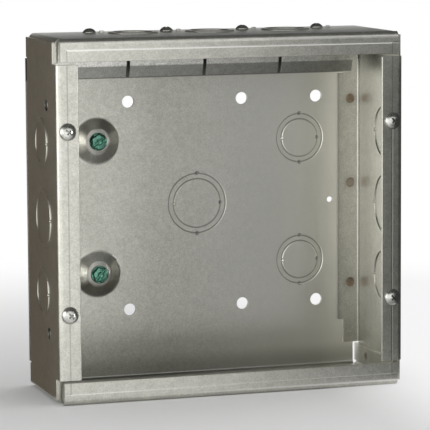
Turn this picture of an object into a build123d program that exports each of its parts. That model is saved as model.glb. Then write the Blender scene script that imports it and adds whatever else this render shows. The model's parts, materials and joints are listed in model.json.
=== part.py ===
from build123d import *
import os

# Frame: X to the right, Y to the back, Z up; origin at the centre of the underside
# Folded sheet
width = 203.2
height = 203.2
depth = 69.85
sheet = 1.6
bend_inner = 1.3
bend_outer = bend_inner + sheet
flange = 12.7
flange_gap = 1.4
flange_end = 2.7
lap = 14.3
lap_step = 3.1
lap_step_length = 14.0
tab_height = 13.4
tab_setback = 6.9
bend_relief = 0.6
side_trim = 2.1

# Half-sheared knockouts, named by conduit trade size
half_inch = 22.2
three_quarter_inch = 28.6
one_inch = 34.9
slug_push = 0.7

# Back panel, measured from its centre
fixing_hole = 7.0
fixing_columns = (-41.4, 27.6, 73.7)
fixing_rows = (-60.6, 60.6)
pilot_hole = 3.4
pilot_x = 82.4
pilot_z = -1.2
pair_x = 63.4
pair_rows = (-36.2, 36.2)
boss_x = -60.6
boss_rows = (-38.5, 38.5)
boss_base = 27.0
boss_top = 13.2
boss_height = 4.0
boss_rim = 4.0

# Side panels, setbacks measured from the back
side_knockout_pitch = 42.2
left_knockout_edge = 20.0
right_knockout_edge = 28.8
left_corner = 7.9
right_corner = 3.6
side_hole = 6.5
side_hole_setback = 47.6
side_hole_rows = (-64.0, 64.0)

# Top and bottom panels
end_room = 8.7
gangs = 4
gang_pitch = (width - 2 * sheet - 2 * end_room) / gangs
end_knockout_setback = 24.0
screw_row_x = 1.1

# Cable clamps
clamp_sheet = 1.5
clamp_row_x = -0.7
clamp_gap = 2.0
clamp_width = gang_pitch - clamp_gap
clamp_bend = 2.6
clamp_front = 21.0
clamp_rear = 6.5
clamp_web = 16.7
clamp_lip_drop = 7.3
clamp_lip_run = 2.4
clamp_screw_setback = 14.2
nib_offset = 7.1
nib_length = 2.4
nib_thickness = 1.5
nib_proud = 1.1
nib_room = 0.3

# Screws
thread_fit = 0.05
hole_room = 0.4
clamp_thread = 4.1
clamp_head = 7.6
clamp_head_height = 2.6
clamp_shank = 9.0
cover_thread = 4.8
cover_head = 9.7
cover_head_height = 3.4
cover_shank = 11.0
cover_turns = (38, 52, 40, 35)
ground_thread = 4.8
ground_washer = 10.4
ground_washer_height = 1.1
ground_hex = 7.9
ground_hex_height = 2.9
ground_shank = 4.6
ground_turns = (48, 35)
shank_sides = 12
drive_length = 0.55
drive_width = 1.2
drive_depth = 1.3

# Places that follow from the sizes above
back_y = depth / 2
front_y = -depth / 2
middle = height / 2
half_channel = width / 2 - sheet - bend_outer
flange_half = width / 2 - flange_end
lap_half = height / 2 - lap
side_half = height / 2 - side_trim
side_flange_half = height / 2 - flange - flange_gap
gang_centres = [(i - (gangs - 1) / 2) * gang_pitch for i in range(gangs)]
gang_joints = [(i - gangs / 2) * gang_pitch for i in range(1, gangs)]
cover_x = width / 2 - flange / 2
cover_rows = (-height / 4, height / 4)
from_top = (Align.CENTER, Align.CENTER, Align.MAX)
from_floor = (Align.CENTER, Align.CENTER, Align.MIN)


def on_back(x, z):
    return Plane((x, back_y, middle + z), x_dir=(1, 0, 0), z_dir=(0, 1, 0))


def on_right(setback, z):
    return Plane((width / 2, back_y - setback, middle + z), x_dir=(0, 1, 0), z_dir=(1, 0, 0))


def on_top(x, setback):
    return Plane((x, back_y - setback, height), x_dir=(1, 0, 0), z_dir=(0, 0, 1))


def block(x0, x1, y0, y1, z0, z1):
    size = (x1 - x0, y1 - y0, z1 - z0)
    return Pos((x0 + x1) / 2, (y0 + y1) / 2, (z0 + z1) / 2) * Box(*size)


def drill(plane, diameter):
    return plane * Cylinder(diameter / 2, 4 * sheet)


def step(plane, diameter, depth):
    # A round step of the slug: above the plane, or sunk from the far face of the sheet behind it
    return plane * Pos(0, 0, depth) * Cylinder(diameter / 2, slug_push, align=from_floor)


def with_knockout(panel, plane, outer, inner=None):
    # The slug is half-sheared out along the plane's normal, an inner slug left level on the inside
    panel -= step(plane, outer, -sheet)
    panel += step(plane, outer, 0)
    return panel + step(plane, inner, -sheet) if inner else panel


def with_boss(panel, plane):
    # A round plateau drawn inwards from the back, the sheet keeping its thickness on the slope
    base = boss_base / 2
    top = boss_top / 2
    rim = base + boss_rim
    bore = ground_thread / 2 + thread_fit
    slope = Vector(base - top, boss_height).normalized()
    shift = sheet * (1 - slope.X) / slope.Y
    corners = [
        (rim, -sheet),
        (base, -sheet),
        (top, -sheet - boss_height),
        (bore, -sheet - boss_height),
        (bore, -boss_height),
        (top - shift, -boss_height),
        (base - shift, 0),
        (rim, 0),
    ]
    profile = make_face(Polyline(*corners, close=True))
    panel -= plane * Cylinder(rim, sheet, align=from_top)
    return panel + plane * revolve(Plane.XZ * profile, Axis.Z)


def box_body():
    # Back, top, bottom and their front flanges: one channel profile seen from the side
    channel = RectangleRounded(depth, height, bend_outer)
    channel -= RectangleRounded(depth - 2 * sheet, height - 2 * sheet, bend_inner)
    channel -= Pos(front_y, 0) * Rectangle(4 * bend_outer, height - 2 * flange)
    body = extrude(Plane.YZ * Pos(0, middle) * channel, half_channel, both=True)
    flanges = channel & Pos(front_y, 0) * Rectangle(2 * bend_outer, height)
    body += extrude(Plane.YZ * Pos(0, middle) * flanges, flange_half, both=True)

    # The back reaches the full width between the corner notches
    body += block(-width / 2, width / 2, back_y - sheet, back_y, middle - lap_half, middle + lap_half)

    # Side tabs folded from the ends of the top and the bottom
    tube = RectangleRounded(width - 2 * sheet, height, bend_outer)
    tube -= RectangleRounded(width - 4 * sheet, height - 2 * sheet, bend_inner)
    tube -= Rectangle(width, height - 2 * tab_height)
    tube -= Rectangle(2 * half_channel - 2 * sheet, height)
    tabs = extrude(Plane.XZ * Pos(0, middle) * tube, depth, both=True)
    tabs &= block(-width, width, front_y + tab_setback, back_y - bend_relief, 0, height)
    for z in (0, height):
        ends = (back_y - bend_outer - bend_relief, depth, z - bend_outer, z + bend_outer)
        tabs -= block(-width, width, *ends)
    body += tabs

    # Back panel
    for x in fixing_columns:
        for z in fixing_rows:
            body -= drill(on_back(x, z), fixing_hole)
    body -= drill(on_back(pilot_x, pilot_z), pilot_hole)
    body = with_knockout(body, on_back(0, 0), one_inch, three_quarter_inch)
    for z in pair_rows:
        body = with_knockout(body, on_back(pair_x, z), three_quarter_inch, half_inch)
    for z in boss_rows:
        body = with_boss(body, on_back(boss_x, z))

    # Top panel: knockouts over the gaps between the clamps, screw holes and nib slots over the clamps
    for x in gang_joints:
        body += step(on_top(screw_row_x + x, end_knockout_setback), three_quarter_inch, 0)
    for x in gang_centres:
        x += screw_row_x
        body -= drill(on_top(x, clamp_screw_setback), clamp_thread + 2 * hole_room)
        slot = Box(nib_length + 2 * nib_room, nib_thickness + 2 * nib_room, 4 * sheet)
        body -= on_top(x + nib_offset, clamp_screw_setback) * slot
    return body


def side_panel(knockout_edge, corner):
    # The right-hand panel: wall, front flange and lap, one profile seen from above
    section = RectangleRounded(width, depth - sheet, bend_outer)
    section -= RectangleRounded(width - 2 * sheet, depth - 3 * sheet, bend_inner)
    section -= Pos(-lap, 0) * Rectangle(width, 2 * depth)
    keep = Pos(width / 2 - flange, -depth / 2) * Rectangle(2 * lap, depth - 4 * bend_outer)
    section -= keep & Pos(-flange, 0) * Rectangle(width, 2 * depth)
    wall = extrude(Pos(0, -sheet / 2, middle) * section, side_half, both=True)

    # Ends: the lap and the front flange stop short, the wall runs on as a plain edge
    lap_front = back_y - sheet - bend_outer
    wall_back = back_y - sheet - bend_relief
    for up in (-1, 1):
        ends = sorted((middle + up * lap_half, middle + up * height))
        wall -= block(0, width, lap_front, depth, *ends)
        ends = sorted((middle + up * (lap_half + bend_relief), middle + up * side_half))
        wall += block(width / 2 - sheet, width / 2, lap_front, wall_back, *ends)
        ends = sorted((middle + up * side_flange_half, middle + up * height))
        wall -= block(0, width, -depth, front_y + corner, *ends)
        ends = sorted((middle + up * (lap_half - lap_step_length), middle + up * height))
        wall -= block(0, width / 2 - lap + lap_step, 0, depth, *ends)

    # Fixing holes, cover screw threads and knockouts
    for z in side_hole_rows:
        wall -= drill(on_right(side_hole_setback, z), side_hole)
    for z in cover_rows:
        thread = Plane((cover_x, front_y, middle + z), z_dir=(0, -1, 0))
        wall -= drill(thread, cover_thread + 2 * thread_fit)
    for row in (-1, 0, 1):
        outer = three_quarter_inch if row else one_inch
        plane = on_right(knockout_edge + outer / 2, row * side_knockout_pitch)
        wall = with_knockout(wall, plane, outer)
    return wall


def cable_clamp(x):
    # A leaf under the top, a web hanging from it and a lip turned to the back
    rear = back_y - clamp_rear
    front = back_y - clamp_front
    ceiling = height - sheet
    line = FilletPolyline(
        (rear, ceiling),
        (front, ceiling),
        (front, ceiling - clamp_web),
        (front + clamp_lip_run, ceiling - clamp_web - clamp_lip_drop),
        radius=clamp_bend,
    )
    outline = make_face(offset(line, clamp_sheet, side=Side.LEFT, kind=Kind.ARC, closed=True))
    clamp = Pos(clamp_row_x + x, 0, 0) * extrude(Plane.YZ * outline, clamp_width / 2, both=True)
    axis = Pos(screw_row_x + x, back_y - clamp_screw_setback, ceiling)
    clamp -= axis * Cylinder(clamp_thread / 2 + thread_fit, 4 * clamp_sheet)
    nib = Box(nib_length, nib_thickness, sheet + nib_proud + clamp_sheet / 2, align=from_floor)
    return clamp + axis * Pos(nib_offset, 0, -clamp_sheet / 2) * nib


def plain_shank(thread, length):
    # Below Z = 0, a prism just inside the thread's outer diameter
    return extrude(RegularPolygon(thread / 2, shank_sides), -length)


def round_screw(head, head_height, thread, shank, turn):
    # Plain round head with a short slot, standing on Z = 0 with the shank below
    screw = Cylinder(head / 2, head_height, align=from_floor)
    screw += plain_shank(thread, shank)
    slot = Box(drive_length * head, drive_width, 2 * drive_depth)
    return Rot(0, 0, turn) * (screw - Pos(0, 0, head_height) * slot)


def ground_screw(turn):
    # Slotted hexagon head on its own washer, standing on Z = 0 with the shank below
    screw = Cylinder(ground_washer / 2, ground_washer_height, align=from_floor)
    hexagon = RegularPolygon(ground_hex / 2, 6, major_radius=False)
    screw += extrude(hexagon, ground_hex_height)
    screw += plain_shank(ground_thread, ground_shank)
    slot = Box(ground_washer, drive_width, 2 * drive_depth)
    return Rot(0, 0, turn) * (screw - Pos(0, 0, ground_hex_height) * slot)


def clamp_screws():
    screws = []
    for x in gang_centres:
        screw = round_screw(clamp_head, clamp_head_height, clamp_thread, clamp_shank, 0)
        screws.append(on_top(screw_row_x + x, clamp_screw_setback) * screw)
    return Compound(children=screws)


def cover_screws():
    screws = []
    places = [(x, z) for x in (-cover_x, cover_x) for z in cover_rows]
    for (x, z), turn in zip(places, cover_turns):
        seat = Plane((x, front_y, middle + z), x_dir=(1, 0, 0), z_dir=(0, -1, 0))
        screw = round_screw(cover_head, cover_head_height, cover_thread, cover_shank, turn)
        screws.append(seat * screw)
    return Compound(children=screws)


def ground_screws():
    screws = []
    seat_y = back_y - sheet - boss_height
    for z, turn in zip(boss_rows, ground_turns):
        seat = Plane((boss_x, seat_y, middle + z), x_dir=(1, 0, 0), z_dir=(0, -1, 0))
        screws.append(seat * ground_screw(turn))
    return Compound(children=screws)


nodes = {
    "box_body": box_body(),
    "left_side_panel": mirror(side_panel(left_knockout_edge, left_corner), about=Plane.YZ),
    "right_side_panel": side_panel(right_knockout_edge, right_corner),
    "clamp_screws": clamp_screws(),
    "cover_screws": cover_screws(),
    "ground_screws": ground_screws(),
}
for number, centre in enumerate(gang_centres, start=1):
    nodes[f"cable_clamp_{number}"] = cable_clamp(centre)

os.makedirs("parts", exist_ok=True)
for name, shape in nodes.items():
    export_step(shape, f"parts/{name}.step")
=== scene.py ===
# Looks, studio and camera of the switch box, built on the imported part
import json
import math

import bmesh
import bpy
from mathutils import Matrix, Vector

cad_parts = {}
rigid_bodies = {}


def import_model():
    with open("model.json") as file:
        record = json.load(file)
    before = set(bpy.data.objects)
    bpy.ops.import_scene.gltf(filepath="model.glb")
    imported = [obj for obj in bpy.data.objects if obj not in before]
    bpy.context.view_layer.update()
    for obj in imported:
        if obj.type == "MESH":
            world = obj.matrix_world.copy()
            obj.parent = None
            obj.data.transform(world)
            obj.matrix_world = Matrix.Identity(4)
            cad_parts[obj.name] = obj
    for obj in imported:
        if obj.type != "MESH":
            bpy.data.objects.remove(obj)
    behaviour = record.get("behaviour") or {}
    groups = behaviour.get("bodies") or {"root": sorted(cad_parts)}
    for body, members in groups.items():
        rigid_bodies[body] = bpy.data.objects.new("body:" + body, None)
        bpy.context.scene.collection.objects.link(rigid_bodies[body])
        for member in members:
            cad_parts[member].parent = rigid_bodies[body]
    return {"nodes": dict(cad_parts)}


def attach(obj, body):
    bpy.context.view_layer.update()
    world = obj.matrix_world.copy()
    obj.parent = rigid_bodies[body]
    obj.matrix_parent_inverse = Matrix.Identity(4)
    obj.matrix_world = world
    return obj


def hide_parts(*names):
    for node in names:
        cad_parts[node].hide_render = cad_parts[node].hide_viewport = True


for thing in list(bpy.data.objects):
    bpy.data.objects.remove(thing)
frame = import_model()
bpy.context.view_layer.update()
nodes = frame["nodes"]
scene = bpy.context.scene
MM = 0.001

# Sheets of the box in millimetres; a side is -1 for left or below and 1 for right or above
SIDES = (-1, 1)
HALF = 101.6
MID = 101.6
FRONT = -34.925
BACK = 34.925
SHEET = 1.6
INSIDE_BACK = BACK - SHEET
UNDER_TOP = 2 * MID - SHEET
LAP_FACE = BACK - 2 * SHEET
LAP_EDGE = 87.3
TAB_FACE = HALF - 2 * SHEET
CREASE = HALF - 6.35
BEND_LINE = HALF - 2.9

# Knockouts: diameters, rows and distances from the edges of the sheets
LARGE = 34.9
MEDIUM = 28.6
SMALL = 22.2
PUSH = 0.7
BACK_KNOCKOUTS = ((0, 0, LARGE, MEDIUM), (63.4, -36.2, MEDIUM, SMALL), (63.4, 36.2, MEDIUM, SMALL))
SIDE_ROW = 42.2
LEFT_GAP = 20.0
RIGHT_GAP = 28.8
TOP_KNOCKOUT_Y = BACK - 24.0

# Bosses, clamps, screws, side holes and welds
BOSS_X = -60.6
BOSS_Y = 31.0
BOSS_ROWS = (-38.5, 38.5)
BOSS_BASE_RADII = (13.5, 13.08)
BOSS_TOP_RADII = (6.6, 6.18)
GROUND_HEAD = 6.9
CLAMP_END = 175.6
CLAMP_BREAK = 184.2
PITCH = 45.65
SCREW_ROW = 1.1
CLAMP_SCREW_Y = BACK - 14.2
COVER_ROW = 50.8
SIDE_HOLE_Y = BACK - 47.6
SIDE_HOLE_ROW = 64.0
LAP_WELD_X = 94.8
LAP_WELD_ROWS = (58.6, 8.7, -51.1)
TAB_WELD_Y = 15.4
TAB_WELD_ROW = 93.6


class Graph:
    # A material and short ways to add nodes to it
    def __init__(self, name):
        self.material = bpy.data.materials.new(name)
        self.material.use_nodes = True
        self.tree = self.material.node_tree
        self.tree.nodes.clear()
        self.out = self.add("ShaderNodeOutputMaterial")

    def add(self, kind, **props):
        node = self.tree.nodes.new(kind)
        for key, value in props.items():
            setattr(node, key, value)
        return node

    def plug(self, socket, value):
        if isinstance(value, bpy.types.NodeSocket):
            self.tree.links.new(value, socket)
        else:
            socket.default_value = value

    def math(self, op, a, b=None, clamp=False):
        node = self.add("ShaderNodeMath", operation=op, use_clamp=clamp)
        self.plug(node.inputs[0], a)
        if b is not None:
            self.plug(node.inputs[1], b)
        return node.outputs[0]

    def ramp(self, value, a, b, lo=0.0, hi=1.0, smooth=True):
        node = self.add("ShaderNodeMapRange", interpolation_type="SMOOTHSTEP" if smooth else "LINEAR")
        self.plug(node.inputs[0], value)
        for slot, number in zip(node.inputs[1:5], (a, b, lo, hi)):
            slot.default_value = number
        return node.outputs[0]

    def noise(self, coords, scale, detail, rough):
        node = self.add("ShaderNodeTexNoise")
        self.plug(node.inputs["Vector"], coords)
        node.inputs["Scale"].default_value = scale
        node.inputs["Detail"].default_value = detail
        node.inputs["Roughness"].default_value = rough
        return node.outputs["Fac"]

    def mix(self, factor, a, b):
        node = self.add("ShaderNodeMix", data_type="RGBA")
        self.plug(node.inputs[0], factor)
        self.plug(node.inputs[6], a)
        self.plug(node.inputs[7], b)
        return node.outputs[2]

    def split(self, vector):
        node = self.add("ShaderNodeSeparateXYZ")
        self.plug(node.inputs[0], vector)
        return node.outputs

    def spots(self, coords, places, radius, core):
        # A mask that is 1 within the core of each place and fades out at the radius
        best = None
        for place in places:
            node = self.add("ShaderNodeVectorMath", operation="DISTANCE")
            self.plug(node.inputs[0], coords)
            node.inputs[1].default_value = [c * MM for c in place]
            spot = self.ramp(node.outputs["Value"], radius * MM, core * radius * MM)
            best = spot if best is None else self.math("MAXIMUM", best, spot)
        return best

    def band(self, value, centre, half):
        # A mask round one value, fading out at both sides
        offset = self.math("ABSOLUTE", self.math("SUBTRACT", value, centre * MM))
        return self.ramp(offset, half * MM, 0.3 * half * MM)


def rgb(r, g, b):
    return (r, g, b, 1.0)


# Tones of the zinc and the weld burn, and colours of painted light and shade
ZINC_DARK = rgb(0.45, 0.45, 0.40)
ZINC_LIGHT = rgb(0.68, 0.67, 0.61)
# painted highlight along the creases and bend lines of the flanges
FLANGE_HIGHLIGHT = rgb(0.95, 0.94, 0.90)
# painted light inside the left wall, on the right of the back and on the bosses' left slopes
PAINTED_LIGHT = rgb(0.98, 0.97, 0.90)
# painted shade in the creases and knockout rings, and on the lap edges, where the sheared steel is also
# darker
SHADE_AND_CUT_EDGE = rgb(0.20, 0.19, 0.17)
# painted shade on the clamp lips
LIP_SHADE = rgb(0.16, 0.16, 0.145)
# painted shade on the boss cones
BOSS_SHADE = rgb(0.24, 0.24, 0.215)
# painted shade on the boss tops, lighter than on the cones
BOSS_TOP_SHADE = rgb(0.31, 0.305, 0.28)
BURN = rgb(0.17, 0.105, 0.055)
# painted shade at the foot of the back, behind the clamps, in the tie dents and in the side holes
DEEP_SHADE = rgb(0.05, 0.05, 0.045)


def painted_flange_lines(g, coords, colour):
    # Painted highlights along the crease and the bend line of the top and bottom flanges, stronger on the
    # top flange and towards the right, and painted shade along the crease of the side flanges
    x, y, z = g.split(coords)
    along = g.ramp(x, -90 * MM, 70 * MM, 0.05, 0.7)
    x = g.math("ABSOLUTE", x)
    upper = g.ramp(z, (MID - 1) * MM, (MID + 1) * MM, 0.3, 0.8)
    z = g.math("ABSOLUTE", g.math("SUBTRACT", z, MID * MM))
    front = g.ramp(y, (FRONT + 0.6) * MM, (FRONT + 0.3) * MM)
    lying = g.math("MULTIPLY", g.math("GREATER_THAN", z, x), front)
    standing = g.math("MULTIPLY", g.math("GREATER_THAN", x, z), front)
    # painted highlight along the crease and the bend line, stronger on the top flange and towards the
    # right
    shine = g.math("MULTIPLY", g.band(z, CREASE, 0.75), lying)
    colour = g.mix(g.math("MULTIPLY", shine, upper), colour, FLANGE_HIGHLIGHT)
    shine = g.math("MULTIPLY", g.band(z, BEND_LINE, 0.8), lying)
    colour = g.mix(g.math("MULTIPLY", shine, along), colour, FLANGE_HIGHLIGHT)
    # painted shade along the crease of the side flanges
    crease_shade = g.math("MULTIPLY", g.band(x, CREASE, 0.55), standing)
    return g.mix(g.math("MULTIPLY", crease_shade, 0.45), colour, SHADE_AND_CUT_EDGE)


def clamp_lip_shade(g, coords, colour):
    # The clamps: bright web, and painted shade on the lip below the break, standing in for the darker
    # things the lip reflects
    z = g.split(coords)[2]
    lip = g.ramp(z, (CLAMP_BREAK + 0.2) * MM, (CLAMP_BREAK - 0.4) * MM)
    return g.mix(g.math("MULTIPLY", lip, 0.62), colour, LIP_SHADE)


def side_light_and_edges(g, coords, colour):
    # The side panels: painted light inside the left wall, for the bosses to reflect, and dark cut edges on
    # the laps, partly sheared steel and partly painted shade
    x, y, _ = g.split(coords)
    # painted light on the inside of the left wall
    wall_light = g.ramp(x, -(HALF - 0.6) * MM, -(HALF - 1.3) * MM)
    wall_light = g.math("MULTIPLY", wall_light, g.math("LESS_THAN", x, 0.0))
    wall_light = g.math("MULTIPLY", wall_light, g.ramp(y, (FRONT + 3) * MM, (FRONT + 5) * MM))
    colour = g.mix(g.math("MULTIPLY", wall_light, 0.8), colour, PAINTED_LIGHT)
    # darker cut edge of the laps, partly sheared steel and partly painted shade
    edge = g.band(g.math("ABSOLUTE", x), LAP_EDGE, 0.7)
    edge = g.math("MULTIPLY", edge, g.math("GREATER_THAN", y, 30 * MM))
    return g.mix(g.math("MULTIPLY", edge, 0.9), colour, SHADE_AND_CUT_EDGE)


def back_light_and_shade(g, coords, colour):
    # The inside of the back: painted light towards the right, painted shade on the knockout rings, towards
    # the foot and behind the clamps
    x, y, z = g.split(coords)
    inside = g.math("MULTIPLY", g.ramp(y, (BACK - 9.0) * MM, (BACK - 6.0) * MM),
                    g.ramp(y, (BACK - 0.3) * MM, (BACK - 0.7) * MM))
    inside = g.math("MULTIPLY", inside, g.ramp(z, (UNDER_TOP - 0.2) * MM, (UNDER_TOP - 0.8) * MM))
    # painted light, lighter towards the right
    right_light = g.math("MULTIPLY", g.ramp(x, -30 * MM, 74 * MM, 0.0, 0.9), inside)
    colour = g.mix(right_light, colour, PAINTED_LIGHT)
    # painted shade along the rings of the knockouts, in the corners of their steps
    for kx, kz, outer, inner in BACK_KNOCKOUTS:
        for radius in (outer / 2 - 0.15, inner / 2 + 0.15):
            away = g.add("ShaderNodeVectorMath", operation="DISTANCE")
            g.plug(away.inputs[0], coords)
            away.inputs[1].default_value = (kx * MM, INSIDE_BACK * MM, (MID + kz) * MM)
            line = g.math("MULTIPLY", g.band(away.outputs["Value"], radius, 0.5), inside)
            colour = g.mix(g.math("MULTIPLY", line, 0.6), colour, SHADE_AND_CUT_EDGE)
    # painted shade, darker towards the foot of the back
    foot = g.math("MULTIPLY", g.ramp(z, 16 * MM, 4 * MM, 0.0, 0.45), inside)
    colour = g.mix(foot, colour, DEEP_SHADE)
    # painted shade behind the clamps and under their lips
    behind_clamp_shade = g.math("MULTIPLY", g.ramp(z, CLAMP_END * MM, (CLAMP_END + 0.8) * MM), inside)
    return g.mix(g.math("MULTIPLY", behind_clamp_shade, 0.85), colour, DEEP_SHADE)


def galvanised(name, dark, light, rough, tints=(), extras=()):
    # Mottled zinc; extras change the tone of whole areas, tints add round marks, each with its places,
    # radius, share of the radius at full strength, colour and strength
    g = Graph(name)
    coords = g.add("ShaderNodeTexCoord").outputs["Object"]
    patches = g.noise(coords, 42.0, 2.0, 0.5)
    mottle = g.noise(coords, 330.0, 4.0, 0.62)
    grain = g.noise(coords, 1300.0, 2.0, 0.6)
    spangle = g.add("ShaderNodeTexVoronoi", feature="F1")
    g.plug(spangle.inputs["Vector"], coords)
    spangle.inputs["Scale"].default_value = 240.0
    cell = g.add("ShaderNodeSeparateColor")
    g.plug(cell.inputs[0], spangle.outputs["Color"])
    tone = g.math("ADD", g.math("MULTIPLY", patches, 0.22), g.math("MULTIPLY", mottle, 0.70))
    tone = g.math("ADD", tone, g.math("MULTIPLY", cell.outputs[0], 0.12))
    tone = g.math("ADD", tone, g.math("MULTIPLY", g.math("SUBTRACT", grain, 0.5), 1.3))
    colour = g.mix(g.ramp(tone, 0.20, 0.94, smooth=False), dark, light)
    for extra in extras:
        colour = extra(g, coords, colour)
    for places, radius, core, tint, strength in tints:
        mask = g.spots(coords, places, radius, core)
        patchy = g.math("MULTIPLY", mask, g.ramp(mottle, 0.35, 0.6, 0.6 * strength, strength, False))
        colour = g.mix(patchy, colour, tint)
    bsdf = g.add("ShaderNodeBsdfPrincipled")
    g.plug(bsdf.inputs["Base Color"], colour)
    bsdf.inputs["Metallic"].default_value = 0.95
    g.plug(bsdf.inputs["Roughness"], g.ramp(mottle, 0.3, 0.7, rough - 0.03, rough + 0.04, False))
    bump = g.add("ShaderNodeBump")
    bump.inputs["Strength"].default_value = 0.03
    bump.inputs["Distance"].default_value = 0.0004
    height = g.math("ADD", g.math("MULTIPLY", mottle, 0.6), g.math("MULTIPLY", grain, 0.4))
    g.plug(bump.inputs["Height"], height)
    g.plug(bsdf.inputs["Normal"], bump.outputs[0])
    g.plug(g.out.inputs[0], bsdf.outputs[0])
    return g.material


def plated(name, dark, light, metallic, rough, turned=0.0, coat=0.0):
    # Plating of the screws, turned ones with a sheen round their own axis
    g = Graph(name)
    coords = g.add("ShaderNodeTexCoord").outputs["Object"]
    mottle = g.noise(coords, 900.0, 3.0, 0.6)
    wear = g.noise(coords, 2600.0, 2.0, 0.6)
    colour = g.mix(g.ramp(mottle, 0.3, 0.7), dark, light)
    bsdf = g.add("ShaderNodeBsdfPrincipled")
    g.plug(bsdf.inputs["Base Color"], colour)
    bsdf.inputs["Metallic"].default_value = metallic
    g.plug(bsdf.inputs["Roughness"], g.ramp(wear, 0.3, 0.7, rough - 0.05, rough + 0.06, False))
    bsdf.inputs["Coat Weight"].default_value = coat
    bsdf.inputs["Coat Roughness"].default_value = 0.12
    if turned:
        bsdf.inputs["Anisotropic"].default_value = turned
        tangent = g.add("ShaderNodeTangent", direction_type="UV_MAP", uv_map="turning")
        g.plug(bsdf.inputs["Tangent"], tangent.outputs[0])
    bump = g.add("ShaderNodeBump")
    bump.inputs["Strength"].default_value = 0.06
    bump.inputs["Distance"].default_value = 0.0002
    g.plug(bump.inputs["Height"], wear)
    g.plug(bsdf.inputs["Normal"], bump.outputs[0])
    g.plug(g.out.inputs[0], bsdf.outputs[0])
    return g.material


# Places of the spot welds, bosses, side holes and ties that hold the knockouts
lap_welds = [(side * LAP_WELD_X, LAP_FACE, MID + z) for side in SIDES for z in LAP_WELD_ROWS]
tab_welds = [(side * TAB_FACE, TAB_WELD_Y, MID + up * TAB_WELD_ROW) for side in SIDES for up in SIDES]
bosses = [(BOSS_X, BOSS_Y, MID + z) for z in BOSS_ROWS]
# spots for the painted highlight on the bosses' left slopes
boss_highlight_spots = [(BOSS_X - 11, BOSS_Y, MID + z) for z in BOSS_ROWS]
hole_x = HALF - SHEET / 2
side_holes = [(side * hole_x, SIDE_HOLE_Y, MID + up * SIDE_HOLE_ROW) for side in SIDES for up in SIDES]
outer_ties = []
left_ties = []
right_ties = []
for x, z, outer, inner in BACK_KNOCKOUTS:
    outer_ties += [(x, INSIDE_BACK, MID + z + up * outer / 2) for up in SIDES]
    left_ties.append((x - inner / 2, INSIDE_BACK, MID + z))
    right_ties.append((x + inner / 2, INSIDE_BACK, MID + z))

# Materials of the pieces
body_metal = galvanised(
    "galvanised_body", ZINC_DARK, ZINC_LIGHT, 0.33, extras=(painted_flange_lines, back_light_and_shade),
    tints=[
        # painted shade in the tie dents of the knockouts
        (outer_ties + right_ties, 1.5, 0.6, DEEP_SHADE, 0.7),
        (tab_welds, 3.2, 0.4, BURN, 0.8),
        # painted shade on the boss cones
        (bosses, 14.2, 0.95, BOSS_SHADE, 0.7),
        # painted highlight on the left slopes of the bosses
        (boss_highlight_spots, 8.0, 0.35, PAINTED_LIGHT, 0.95),
        # painted shade on the boss tops, lighter than on the cones
        (bosses, 7.4, 0.9, BOSS_TOP_SHADE, 0.9),
    ],
)
side_metal = galvanised(
    "galvanised_sides", ZINC_DARK, ZINC_LIGHT, 0.33, extras=(painted_flange_lines, side_light_and_edges),
    tints=[
        (lap_welds, 6.6, 0.3, BURN, 0.25),
        (lap_welds, 3.3, 0.7, BURN, 0.8),
        # painted shade in the side holes
        (side_holes, 3.42, 0.97, DEEP_SHADE, 0.9),
    ],
)
clamp_metal = galvanised(
    "galvanised_clamps", rgb(0.52, 0.52, 0.48), rgb(1.0, 0.99, 0.93), 0.32, extras=(clamp_lip_shade,),
)
screw_metal = plated("zinc_screws", rgb(0.46, 0.46, 0.43), rgb(0.66, 0.66, 0.62), 1.0, 0.27, turned=0.75)
# darker plating that paints shade into the cross recesses
recess_shade_metal = plated("zinc_recess_shade", rgb(0.12, 0.12, 0.11), rgb(0.34, 0.34, 0.32), 1.0, 0.22)
green_metal = plated("green_screws", rgb(0.03, 0.15, 0.10), rgb(0.14, 0.38, 0.28), 1.0, 0.12, coat=1.0)


def dress(obj, material):
    obj.data.materials.clear()
    obj.data.materials.append(material)


def new_object(name, bm):
    mesh = bpy.data.meshes.new(name)
    bm.to_mesh(mesh)
    bm.free()
    obj = bpy.data.objects.new(name, mesh)
    scene.collection.objects.link(obj)
    return obj


def close(value, target, room):
    return abs(value - target * MM) < room * MM


def ring_radius(point, axis, centre):
    # Distance from a ring's axis, which runs along the given axis through its centre
    rest = [k for k in range(3) if k != axis]
    return math.hypot(*(point[k] - centre[k] * MM for k in rest))


def face_angle(edge):
    return math.degrees(edge.calc_face_angle(0.0)) if len(edge.link_faces) == 2 else 0.0


def middle_of(edge):
    return (edge.verts[0].co + edge.verts[1].co) / 2


def on_rings(edge, rings):
    point = middle_of(edge)
    for axis, centre, radius in rings:
        if abs(point[axis] - centre[axis] * MM) < 8 * MM:
            if close(ring_radius(point, axis, centre), radius, 0.45):
                return True
    return False


def plain_edges(bm, rings):
    return [e for e in bm.edges if face_angle(e) > 60 and not on_rings(e, rings)]


def round_edges(bm, edges, width, segments):
    if edges:
        bmesh.ops.bevel(bm, geom=edges, offset=width * MM, offset_type="OFFSET", segments=segments,
                        profile=0.5, affect="EDGES", clamp_overlap=False)
        bm.normal_update()


def inner_slug(bm, axis, plane, centre, outer, inner, push):
    # A step inside a knockout's flat face: the inner slug is set back along the axis
    for face in list(bm.faces):
        flat = all(close(v.co[axis], plane, 0.02) for v in face.verts)
        if not flat or ring_radius(face.calc_center_median(), axis, centre) > 1.0 * MM:
            continue
        if face.calc_area() < 2.5 * (inner * MM / 2) ** 2:
            continue
        thickness = (outer - inner) / 2 * MM
        bmesh.ops.inset_individual(bm, faces=[face], thickness=thickness, use_even_offset=True)
        bmesh.ops.inset_individual(bm, faces=[face], thickness=0.02 * MM, use_even_offset=True)
        for vert in face.verts:
            vert.co[axis] += push * MM
    bm.normal_update()


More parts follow.
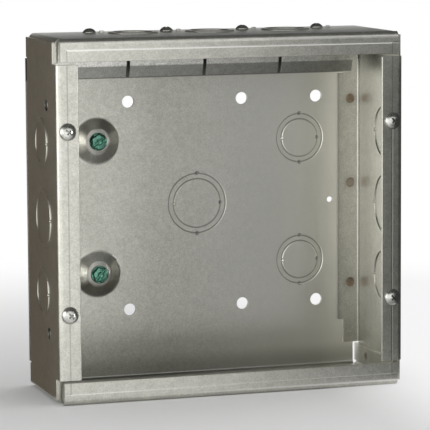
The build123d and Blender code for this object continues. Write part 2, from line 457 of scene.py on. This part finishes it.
def on_crease(edge, axis, place):
    if not all(close(v.co.y, FRONT, 0.2) for v in edge.verts):
        return False
    return all(close(v.co[axis], place, 0.62) for v in edge.verts)


def crease(bm, axis, place):
    # A shallow groove along a front flange
    for cut in (place - 0.5, place, place + 0.5):
        faces = [f for f in bm.faces if all(close(v.co.y, FRONT, 0.02) for v in f.verts)]
        edges = {e for f in faces for e in f.edges}
        verts = {v for f in faces for v in f.verts}
        point = Vector((0, 0, 0))
        point[axis] = cut * MM
        normal = Vector((0, 0, 0))
        normal[axis] = 1.0
        geometry = faces + list(edges) + list(verts)
        bmesh.ops.bisect_plane(bm, geom=geometry, dist=1e-7, plane_co=point, plane_no=normal)
    for vert in bm.verts:
        if close(vert.co.y, FRONT, 0.02) and close(vert.co[axis], place, 0.01):
            vert.co.y += 0.1 * MM
    bm.normal_update()


def press_marks(obj, marks):
    # Shallow round dents: each mark is a place, the way out of the sheet, a radius and a depth
    cutter = bmesh.new()
    for place, out, radius, depth in marks:
        aim = Vector(out).to_track_quat("Z", "X").to_matrix().to_4x4()
        size = Matrix.Diagonal((radius * MM, radius * MM, depth * MM, 1.0))
        turn = Matrix.Translation([c * MM for c in place]) @ aim @ size
        bmesh.ops.create_uvsphere(cutter, u_segments=24, v_segments=16, radius=1.0, matrix=turn)
    cut = new_object(obj.name + "_cut", cutter)
    obj.data = cut_away(obj, cut)


def cut_away(obj, cut):
    boolean = obj.modifiers.new("cut", "BOOLEAN")
    boolean.operation = "DIFFERENCE"
    boolean.solver = "EXACT"
    boolean.use_self = True
    boolean.object = cut
    bpy.context.view_layer.update()
    made = bpy.data.meshes.new_from_object(obj.evaluated_get(bpy.context.evaluated_depsgraph_get()))
    obj.modifiers.clear()
    bpy.data.objects.remove(cut)
    return made


def smooth_faces(obj, least, creases=()):
    bm = bmesh.new()
    bm.from_mesh(obj.data)
    for face in bm.faces:
        face.smooth = True
    for edge in bm.edges:
        folded = any(on_crease(edge, *line) for line in creases) and face_angle(edge) > 3
        edge.smooth = not (folded or face_angle(edge) > least)
    bm.to_mesh(obj.data)
    bm.free()


def hand_over(obj, source, material):
    dress(obj, material)
    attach(obj, "root")
    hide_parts(source)


def finish_piece(source, name, material, slugs=(), creases=(), blends=(), rings=(), marks=(), edge=0.2):
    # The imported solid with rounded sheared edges, drawn blends, inner slugs and pressed marks
    bm = bmesh.new()
    bm.from_mesh(nodes[source].data)
    bmesh.ops.remove_doubles(bm, verts=bm.verts, dist=1e-6)
    bmesh.ops.dissolve_limit(bm, angle_limit=math.radians(0.4), verts=bm.verts, edges=bm.edges)
    bm.normal_update()
    for slug in slugs:
        inner_slug(bm, *slug)
    for group, width, segments in blends:
        chosen = [e for e in bm.edges if face_angle(e) > 20 and on_rings(e, group)]
        round_edges(bm, chosen, width, segments)
    sheared = [e for e in bm.edges if face_angle(e) > 60 and e.is_convex and on_rings(e, rings)]
    round_edges(bm, sheared, 0.6, 4)
    if creases and all(axis == 0 for axis, _ in creases):
        at_front = [e for e in plain_edges(bm, rings) if close(middle_of(e).y, FRONT, 0.1)]
        lips = [e for e in at_front if abs(middle_of(e).x) < 90 * MM]
        round_edges(bm, lips, 0.6, 3)
    round_edges(bm, plain_edges(bm, rings), edge, 2)
    for line in creases:
        crease(bm, *line)
    obj = new_object(name, bm)
    if marks:
        press_marks(obj, marks)
    smooth_faces(obj, 50, creases)
    normals = obj.modifiers.new("flat_faces", "WEIGHTED_NORMAL")
    normals.keep_sharp = True
    hand_over(obj, source, material)


# The body: rings of the knockouts, blends of the bosses, ties and tab welds
body_rings = []
for x, z, outer, inner in BACK_KNOCKOUTS:
    body_rings += [(1, (x, BACK, MID + z), size / 2) for size in (outer, inner)]
top_slugs = []
for x in (-PITCH, 0, PITCH):
    centre = (SCREW_ROW + x, TOP_KNOCKOUT_Y, 2 * MID)
    top_slugs.append((2, 2 * MID + PUSH, centre, MEDIUM, SMALL, -PUSH))
    body_rings += [(2, centre, size / 2) for size in (MEDIUM, SMALL)]
base_rings = [(1, boss, radius) for boss in bosses for radius in BOSS_BASE_RADII]
top_rings = [(1, boss, radius) for boss in bosses for radius in BOSS_TOP_RADII]
tie_marks = [(place, (0, -1, 0), 1.25, 0.85) for place in outer_ties + left_ties + right_ties]
tab_marks = [(place, (-math.copysign(1, place[0]), 0, 0), 2.4, 0.2) for place in tab_welds]
finish_piece(
    "box_body", "folded_body", body_metal, slugs=top_slugs,
    creases=[(2, MID - CREASE), (2, MID + CREASE)],
    blends=[(base_rings, 1.0, 4), (top_rings, 1.5, 5)],
    rings=body_rings, marks=tie_marks + tab_marks,
)

# The side panels: inner slugs on both faces, ties fore and aft, lap welds
for side, source, gap in ((-1, "left_side_panel", LEFT_GAP), (1, "right_side_panel", RIGHT_GAP)):
    slugs = []
    rings = []
    marks = [(place, (0, -1, 0), 2.7, 0.25) for place in lap_welds if place[0] * side > 0]
    for row in (-1, 0, 1):
        outer, inner = (MEDIUM, SMALL) if row else (LARGE, MEDIUM)
        y = BACK - gap - outer / 2
        centre = (side * HALF, y, MID + row * SIDE_ROW)
        for plane, out in ((HALF + PUSH, side), (HALF - SHEET + PUSH, -side)):
            slugs.append((0, side * plane, centre, outer, inner, -PUSH * side))
            face = side * (plane if out == side else HALF - SHEET)
            marks += [((face, y + way * outer / 2, centre[2]), (out, 0, 0), 1.1, 0.85) for way in SIDES]
        rings += [(0, centre, size / 2) for size in (outer, inner)]
    finish_piece(
        source, source.replace("side_panel", "folded_side"), side_metal, slugs=slugs,
        creases=[(0, side * CREASE)], rings=rings, marks=marks,
    )

# The clamps and the ground screws, which have a dimple in the head
for number in range(1, 5):
    finish_piece(f"cable_clamp_{number}", f"bent_clamp_{number}", clamp_metal)
head_marks = [((BOSS_X, INSIDE_BACK - GROUND_HEAD, MID + z), (0, -1, 0), 2.0, 0.9) for z in BOSS_ROWS]
finish_piece("ground_screws", "ground_heads", green_metal, marks=head_marks, edge=0.5)


def lathe(bm, profile, turn, steps=48):
    # Turns a profile of (radius, height) pairs about Z and places it, laid out round its own axis
    layer = bm.loops.layers.uv.verify()
    loops = []
    for radius, height in profile:
        angles = [2 * math.pi * k / steps for k in range(steps if radius else 1)]
        spots = [Vector((radius * math.cos(a), radius * math.sin(a), height)) * MM for a in angles]
        loops.append([bm.verts.new(turn @ spot) for spot in spots])
    for row, (a, b) in enumerate(zip(loops, loops[1:])):
        for k in range(steps):
            n = (k + 1) % steps
            corners = [(a[k % len(a)], k, row), (a[n % len(a)], k + 1, row),
                       (b[n % len(b)], k + 1, row + 1), (b[k % len(b)], k, row + 1)]
            if len(a) == 1:
                corners = [(a[0], k + 0.5, row)] + corners[2:]
            elif len(b) == 1:
                corners = corners[:2] + [(b[0], k + 0.5, row + 1)]
            face = bm.faces.new([corner[0] for corner in corners])
            for loop, (vert, across, along) in zip(face.loops, corners):
                loop[layer].uv = (across / steps, along / len(profile))


def cuboid(bm, size, turn):
    made = bmesh.ops.create_cube(bm, size=1.0)
    for vert in made["verts"]:
        vert.co = turn @ Vector([c * s * MM for c, s in zip(vert.co, size)])


def round_heads(source, name, places, head, height, thread, shank, drive):
    # Domed heads with a cross recess and a threaded shank
    solid = bmesh.new()
    solid.loops.layers.uv.new("turning")
    cutter = bmesh.new()
    rise = height - 0.5
    dome = (head * head / 4 + rise ** 2) / (2 * rise)
    limit = math.asin(min(1.0, head / 2 / dome))
    profile = [(0, height)]
    for k in range(1, 13):
        angle = limit * k / 12
        profile.append((dome * math.sin(angle), height - dome + dome * math.cos(angle)))
    profile += [(head / 2, 0.25), (head / 2 - 0.25, 0.0), (thread / 2, 0.0)]
    pitch = 0.8
    for k in range(int((shank - 1.0) / pitch)):
        profile += [(thread / 2, -k * pitch - 0.2), (thread / 2 - 0.32, -k * pitch - 0.6)]
    profile += [(thread / 2 - 0.4, -shank), (0, -shank)]
    for place in places:
        lathe(solid, profile[::-1], place)
        top = place @ Matrix.Translation((0, 0, height * MM))
        cuboid(cutter, (drive, 1.0, 2.0), top)
        cuboid(cutter, (1.0, drive * 0.72, 2.0), top)
    for bm in (solid, cutter):
        bmesh.ops.recalc_face_normals(bm, faces=bm.faces)
    obj = new_object(name, solid)
    obj.data = cut_away(obj, new_object(name + "_cut", cutter))
    smooth_faces(obj, 40)
    hand_over(obj, source, screw_metal)
    # painted shade: faces inside the cross recess get the darker recess plating
    obj.data.materials.append(recess_shade_metal)
    backs = [place.inverted() for place in places]
    for face in obj.data.polygons:
        spot = min((back @ face.center for back in backs), key=lambda v: v.length)
        depth = dome * MM - (spot - Vector((0, 0, (height - dome) * MM))).length
        if depth > 0.12 * MM and spot.z > 1.2 * MM:
            face.material_index = 1


def seat(x, y, z, facing, turn):
    aim = Vector(facing).to_track_quat("Z", "X").to_matrix().to_4x4()
    return Matrix.Translation((x * MM, y * MM, z * MM)) @ aim @ Matrix.Rotation(math.radians(turn), 4, "Z")


# The cover screws and the clamp screws, each turned its own way
cover_spots = [(side * CREASE, MID + up * COVER_ROW) for side in SIDES for up in SIDES]
cover_places = [seat(x, FRONT, z, (0, -1, 0), turn) for (x, z), turn in zip(cover_spots, (38, 52, 40, 35))]
clamp_places = []
for column, turn in zip((-1.5, -0.5, 0.5, 1.5), (12, 70, 40, 155)):
    clamp_places.append(seat(SCREW_ROW + column * PITCH, CLAMP_SCREW_Y, 2 * MID, (0, 0, 1), turn))
round_heads("cover_screws", "cover_heads", cover_places,
            head=9.7, height=3.4, thread=4.8, shank=11.0, drive=4.4)
round_heads("clamp_screws", "clamp_heads", clamp_places,
            head=7.6, height=2.6, thread=4.1, shank=9.0, drive=4.0)


def pale_floor():
    # Turns white with distance, as an even backdrop, and towards the right as a painted pool of light
    g = Graph("pale_floor")
    coords = g.add("ShaderNodeTexCoord").outputs["Object"]
    distance = g.add("ShaderNodeVectorMath", operation="LENGTH")
    g.plug(distance.inputs[0], coords)
    far = g.ramp(distance.outputs["Value"], 0.16, 0.55, 0.07, 1.0)
    # painted light: the floor right of the box is whiter
    right = g.ramp(g.split(coords)[0], 0.03, 0.14, 0.0, 0.75)
    path = g.add("ShaderNodeLightPath")
    seen = g.math("ADD", path.outputs["Is Camera Ray"], path.outputs["Is Glossy Ray"])
    seen = g.math("ADD", seen, path.outputs["Is Transmission Ray"], clamp=True)
    diffuse = g.add("ShaderNodeBsdfDiffuse")
    diffuse.inputs["Color"].default_value = rgb(0.86, 0.86, 0.86)
    glow = g.add("ShaderNodeEmission")
    glow.inputs["Color"].default_value = rgb(1, 1, 1)
    glow.inputs["Strength"].default_value = 1.0
    blend = g.add("ShaderNodeMixShader")
    g.plug(blend.inputs[0], g.math("MULTIPLY", g.math("MAXIMUM", far, right), seen))
    g.plug(blend.inputs[1], diffuse.outputs[0])
    g.plug(blend.inputs[2], glow.outputs[0])
    g.plug(g.out.inputs[0], blend.outputs[0])
    return g.material


def upright(x0, y0, x1, y1, top, foot=0.0):
    return [(x0, y0, foot), (x1, y1, foot), (x1, y1, top), (x0, y0, top)]


def level(x0, y0, x1, y1, z):
    return [(x0, y0, z), (x1, y0, z), (x1, y1, z), (x0, y1, z)]


def stage_sheet(name, corners, material):
    # One flat face of the studio
    mesh = bpy.data.meshes.new(name)
    mesh.from_pydata(corners, [], [(0, 1, 2, 3)])
    obj = bpy.data.objects.new(name, mesh)
    scene.collection.objects.link(obj)
    dress(obj, material)
    return obj


REACH = 14.0
stage_sheet("floor", level(-REACH, -REACH, REACH, REACH, 0), pale_floor())

# Soft light from the right, behind and in front, and a dim room
world = bpy.data.worlds.new("studio")
scene.world = world
world.use_nodes = True
background = world.node_tree.nodes["Background"]
background.inputs["Color"].default_value = rgb(1, 1, 1)
background.inputs["Strength"].default_value = 0.46
lamps = (("back_softbox", (0.75, 0.6, 2.0), 10.0), ("side_softbox", (0.95, -0.6, 1.7), 9.0))
for name, place, power in lamps:
    light = bpy.data.lights.new(name, "AREA")
    light.shape = "RECTANGLE"
    light.size = 1.6
    light.size_y = 1.6
    light.energy = power
    lamp = bpy.data.objects.new(name, light)
    lamp.location = place
    lamp.rotation_euler = (-lamp.location).to_track_quat("-Z", "Y").to_euler()
    lamp.visible_glossy = False
    scene.collection.objects.link(lamp)


def card(name, corners, strength, fade=None, tint=(1, 1, 1)):
    # A panel of the studio that only shows in the metal, fading from left to right if so given
    g = Graph(name)
    glow = g.add("ShaderNodeEmission")
    glow.inputs["Color"].default_value = rgb(*tint)
    glow.inputs["Strength"].default_value = strength
    if fade:
        start, end, low = fade
        x = g.split(g.add("ShaderNodeTexCoord").outputs["Object"])[0]
        g.plug(glow.inputs["Strength"], g.ramp(x, start, end, strength, low))
    g.plug(g.out.inputs[0], glow.outputs[0])
    g.material.cycles.emission_sampling = "NONE"
    obj = stage_sheet(name, corners, g.material)
    obj.visible_camera = False
    obj.visible_shadow = False
    obj.visible_diffuse = False


# What the metal reflects in front, at the right, at the left, above and behind, in metres
BROWN = (0.153, 0.129, 0.102)
FADE = (-0.06, 0.15, 0.25)
card("front_panel", upright(-0.7, -0.4, 0.24, -0.4, 0.31), 1.5, FADE)
card("front_high", upright(-0.7, -0.4, 0.4, -0.4, 0.5, 0.31), 1.1)
card("front_floor", level(-0.7, -0.4, 0.24, -0.26, 0.002), 1.5, FADE)
card("middle_floor", level(-0.02, -0.26, 0.24, -0.145, 0.002), 0.25)
card("left_front_floor", level(-0.7, -0.26, -0.02, -0.145, 0.002), 1.3)
card("near_floor", level(-0.7, -0.145, 0.24, -0.04, 0.002), 0.88, FADE)
card("right_grey", upright(0.142, -0.2, 0.4, -0.2, 0.225), 0.36)
card("right_panel", upright(0.72, -1.0, 1.05, -0.85, 0.3), 12.0)
card("right_floor", level(0.46, -1.0, 0.9, -0.6, 0.002), 9.0)
card("right_flag", upright(0.134, -0.15, 0.134, 0.1, 0.188), 0.06)
card("left_panel", upright(-0.7, 0.05, -0.7, -0.4, 0.5), 2.9)
card("left_flag", upright(-0.15, 0.9, -0.15, -0.02, 0.5), 0.9, tint=BROWN)
card("left_floor", level(-0.4, -0.02, -0.101, 0.9, 0.003), 0.9, tint=BROWN)
card("ceiling", level(-1.6, -1.2, 1.7, 0.9, 0.6), 0.10)
card("back_flag", upright(0.16, 0.055, -0.16, 0.055, 0.29, 0.213), 0.05)
card("back_panel", upright(2.0, 1.6, -0.5, 1.6, 0.6), 1.0)

# The camera at the photo's angle, as fitted to the box
CAMERA_PLACE = (-0.4653, -1.4516, 0.2889)
CAMERA_ACROSS = (0.95199, -0.30607, -0.00599)
CAMERA_FORWARD = (0.30302, 0.94490, -0.12395)
data = bpy.data.cameras.new("camera")
data.sensor_width = 36.0
data.lens = 224.7
data.clip_end = 100.0
camera = bpy.data.objects.new("camera", data)
across = Vector(CAMERA_ACROSS).normalized()
forward = Vector(CAMERA_FORWARD).normalized()
aim = Matrix((across, across.cross(forward), -forward)).transposed().to_4x4()
camera.matrix_world = Matrix.Translation(CAMERA_PLACE) @ aim
scene.collection.objects.link(camera)
scene.camera = camera
scene.view_settings.view_transform = "Standard"

bpy.context.view_layer.update()
